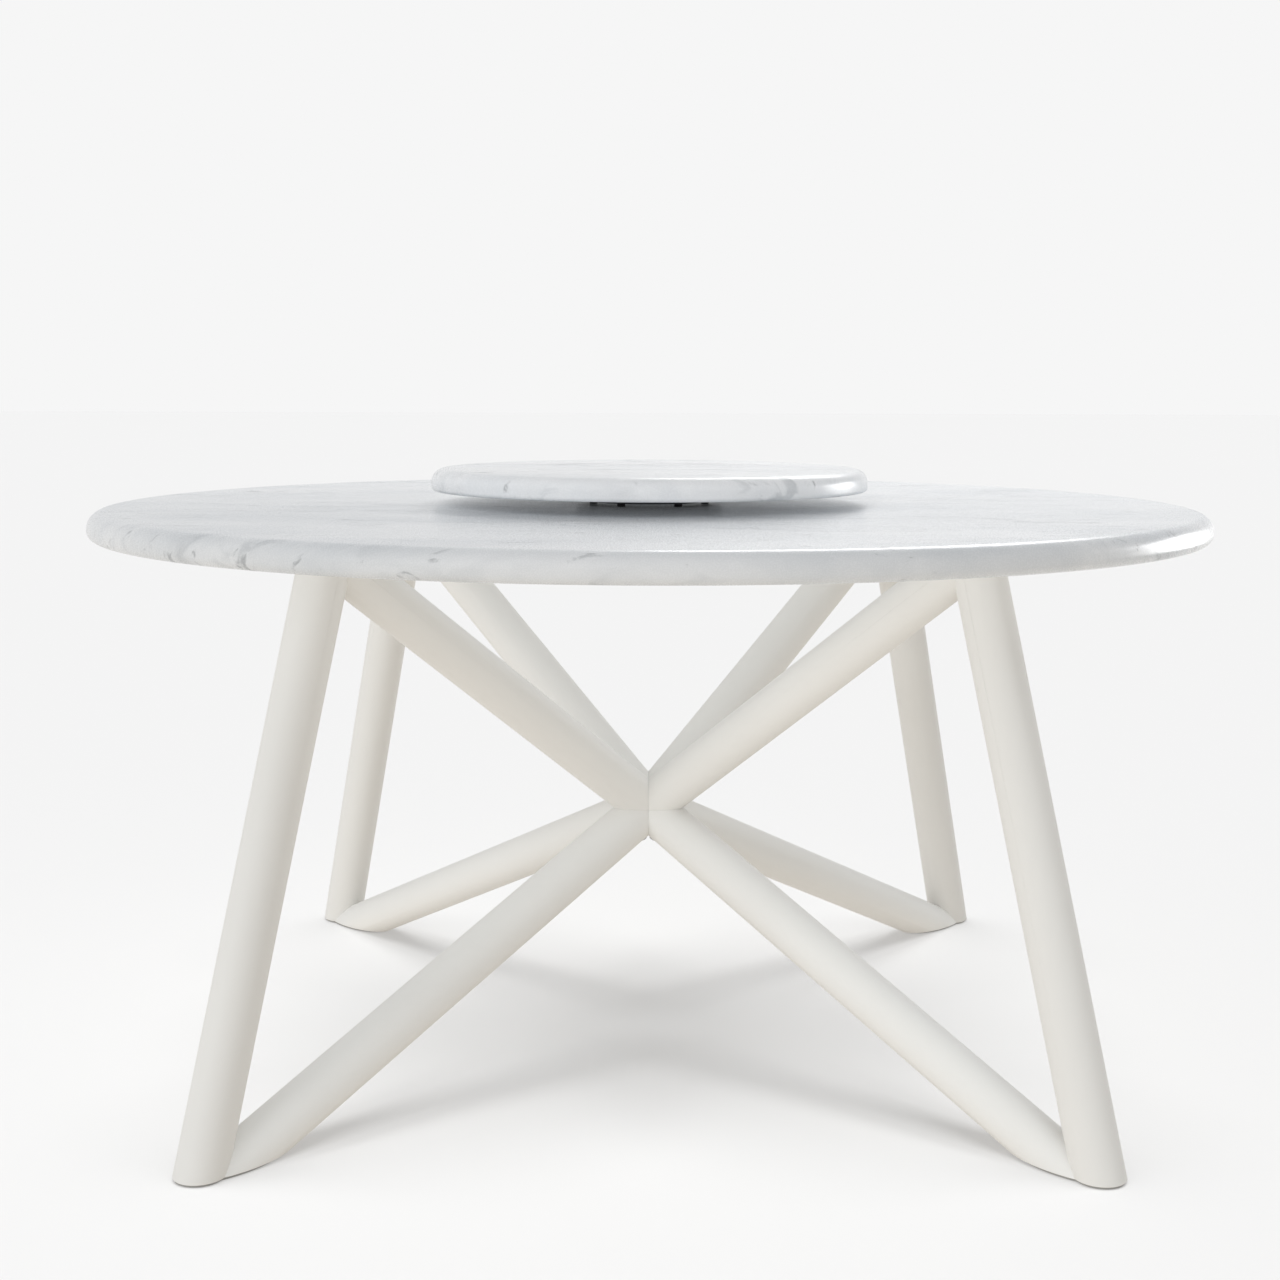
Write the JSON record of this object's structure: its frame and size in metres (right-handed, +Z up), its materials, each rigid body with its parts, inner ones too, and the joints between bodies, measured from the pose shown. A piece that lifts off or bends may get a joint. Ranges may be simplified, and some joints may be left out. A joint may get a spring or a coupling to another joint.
{
  "type": "round dining table with turntable",
  "caption": "Round stone-topped outdoor dining table on splayed tube frames that meet at a hub, with a stone turntable in the middle.",
  "frame": {"origin": "on the floor under the middle of the top, at the bottom of the foot glides", "axes": "+Z up along the turntable's axis; -Y faces the picture's viewer; the frames stand at 45 degrees between X and Y"},
  "size_m": [1.5238, 1.5238, 0.812],
  "materials": {
    "stone": "polished white marble with soft grey veins",
    "base_paint": "off-white satin powder coat on aluminium tube",
    "plate_metal": "powder-coated plate",
    "silicone": "translucent grey silicone",
    "nylon": "moulded black nylon",
    "steel": "plain stainless steel",
    "ball_steel": "polished steel",
    "hub_metal": "milled aluminium",
    "ring_metal": "black anodised aluminium",
    "cage_plastic": "moulded black plastic",
    "foot_rubber": "black rubber"
  },
  "bodies": {
    "base": {"bearing_feet": "foot_rubber", "bearing_inner_ring": "ring_metal", "foot_glide_front_left": "nylon", "foot_glide_front_right": "nylon", "foot_glide_rear_left": "nylon", "foot_glide_rear_right": "nylon", "foot_plate_front_left": "plate_metal", "foot_plate_front_right": "plate_metal", "foot_plate_rear_left": "plate_metal", "foot_plate_rear_right": "plate_metal", "glide_screws": "steel", "head_plate_front_left": "plate_metal", "head_plate_front_right": "plate_metal", "head_plate_rear_left": "plate_metal", "head_plate_rear_right": "plate_metal", "hub_bolts": "steel", "hub_core": "hub_metal", "leg_front_left": "base_paint", "leg_front_right": "base_paint", "leg_rear_left": "base_paint", "leg_rear_right": "base_paint", "locating_pins": "steel", "lower_strut_front_left": "base_paint", "lower_strut_front_right": "base_paint", "lower_strut_rear_left": "base_paint", "lower_strut_rear_right": "base_paint", "stone_pad_front_left": "silicone", "stone_pad_front_right": "silicone", "stone_pad_rear_left": "silicone", "stone_pad_rear_right": "silicone", "tabletop": "stone", "upper_strut_front_left": "base_paint", "upper_strut_front_right": "base_paint", "upper_strut_rear_left": "base_paint", "upper_strut_rear_right": "base_paint"},
    "turntable": {"turntable_disc": "stone", "bearing_outer_ring": "ring_metal", "disc_bond_pads": "silicone"},
    "ball_cage": {"bearing_balls": "ball_steel", "bearing_cage": "cage_plastic"}
  },
  "joints": [
    {"name": "turntable_spin", "type": "hinge", "parent": "base", "child": "turntable", "pos_m": [0, 0, 0.773], "axis": [0, 0, 1], "continuous": true},
    {"name": "cage_spin", "type": "hinge", "parent": "base", "child": "ball_cage", "pos_m": [0, 0, 0.773], "axis": [0, 0, 1], "continuous": true}
  ],
  "couplings": [
    {"joint": "cage_spin", "follows": "turntable_spin", "ratio": 0.5172}
  ]
}
